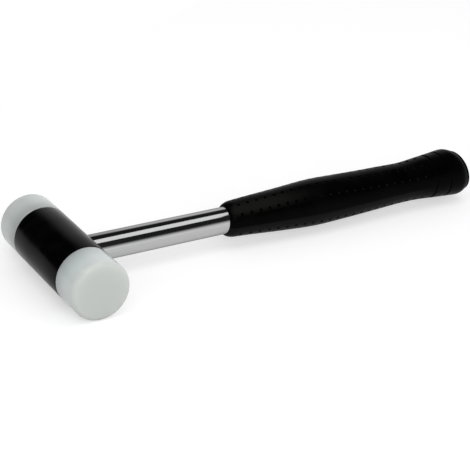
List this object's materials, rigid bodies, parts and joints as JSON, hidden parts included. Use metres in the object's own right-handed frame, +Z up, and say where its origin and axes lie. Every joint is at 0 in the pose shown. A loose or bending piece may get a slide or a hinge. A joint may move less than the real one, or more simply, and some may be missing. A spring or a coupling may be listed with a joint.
{
  "type": "soft face hammer",
  "caption": "Soft face hammer with a black steel head, screw-in white nylon faces, a chromed tube handle and a black vinyl grip with a flared end.",
  "frame": {"origin": "on the surface that the hammer lies on, under the middle of its box", "axes": "+X along the handle from the head to the end of the grip, +Y along the head to the rear face, +Z up from the surface"},
  "size_m": [0.303, 0.1, 0.035],
  "materials": {
    "head_black": "smooth semi-gloss black coat on turned steel",
    "nylon": "milky white nylon, fine turned satin",
    "stud_steel": "zinc plated thread",
    "washer_steel": "dark spring steel",
    "tube_chrome": "bright chrome plate",
    "core_steel": "plain drawn steel",
    "pin_steel": "dark spring steel",
    "grip_vinyl": "soft black vinyl with a low sheen and small dimples",
    "plug_plastic": "plain black moulding"
  },
  "bodies": {
    "hammer": {"head_body": "head_black", "handle_tube": "tube_chrome", "tube_core": "core_steel", "handle_pin": "pin_steel", "grip": "grip_vinyl", "tube_plug": "plug_plastic"},
    "front_washer": {"front_lock_washer": "washer_steel"},
    "front_screw_face": {"front_face": "nylon", "front_stud": "stud_steel"},
    "rear_washer": {"rear_lock_washer": "washer_steel"},
    "rear_screw_face": {"rear_face": "nylon", "rear_stud": "stud_steel"}
  },
  "joints": [
    {"name": "front_face_travel", "type": "slide", "parent": "hammer", "child": "front_washer", "axis": [0, -1, 0], "range_m": [0, 0.01313]},
    {"name": "front_face_turn", "type": "hinge", "parent": "front_washer", "child": "front_screw_face", "pos_m": [-0.134, -0.05, 0.0175], "axis": [0, -1, 0], "range_deg": [0, 2700]},
    {"name": "rear_face_travel", "type": "slide", "parent": "hammer", "child": "rear_washer", "axis": [0, 1, 0], "range_m": [0, 0.01313]},
    {"name": "rear_face_turn", "type": "hinge", "parent": "rear_washer", "child": "rear_screw_face", "pos_m": [-0.134, 0.05, 0.0175], "axis": [0, 1, 0], "range_deg": [0, 2700]}
  ],
  "couplings": [
    {"joint": "front_face_travel", "follows": "front_face_turn", "m_per_rad": 0.00027852},
    {"joint": "rear_face_travel", "follows": "rear_face_turn", "m_per_rad": 0.00027852}
  ]
}
